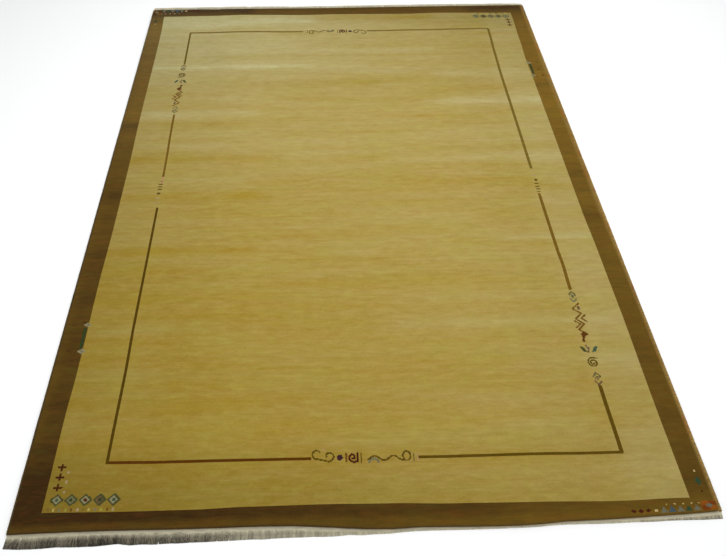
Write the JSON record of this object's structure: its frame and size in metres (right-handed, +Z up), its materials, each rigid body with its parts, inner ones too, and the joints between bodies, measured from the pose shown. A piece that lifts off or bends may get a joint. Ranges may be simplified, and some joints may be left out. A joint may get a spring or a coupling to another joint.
{
  "type": "nepalese rug",
  "caption": "Hand-knotted wool rug lying flat, golden field in a brown border with a thin broken frame line of small figures, overcast sides and short fringed ends.",
  "frame": {"origin": "on the floor under the middle of the whole rug, fringes included", "axes": "+X across the rug to the right, +Y along the rug away from the near fringe, +Z up from the floor"},
  "size_m": [1.7072, 2.4768, 0.0127],
  "materials": {
    "pile_wool": "matt knotted wool pile, gold field with faint dye bands, brown border, small coloured figures",
    "dark_overcast_wool": "matt wool yarn, dark brown, wrapped round the edge",
    "ochre_overcast_wool": "matt wool yarn, ochre to rust, wrapped round the edge",
    "ivory_warp": "undyed greyish cotton warps, flat-woven strip and loose ends"
  },
  "bodies": {
    "root": {"pile_body": "pile_wool", "binding_left": "dark_overcast_wool", "binding_right": "ochre_overcast_wool", "fringe_near": "ivory_warp", "fringe_far": "ivory_warp"}
  },
  "joints": []
}
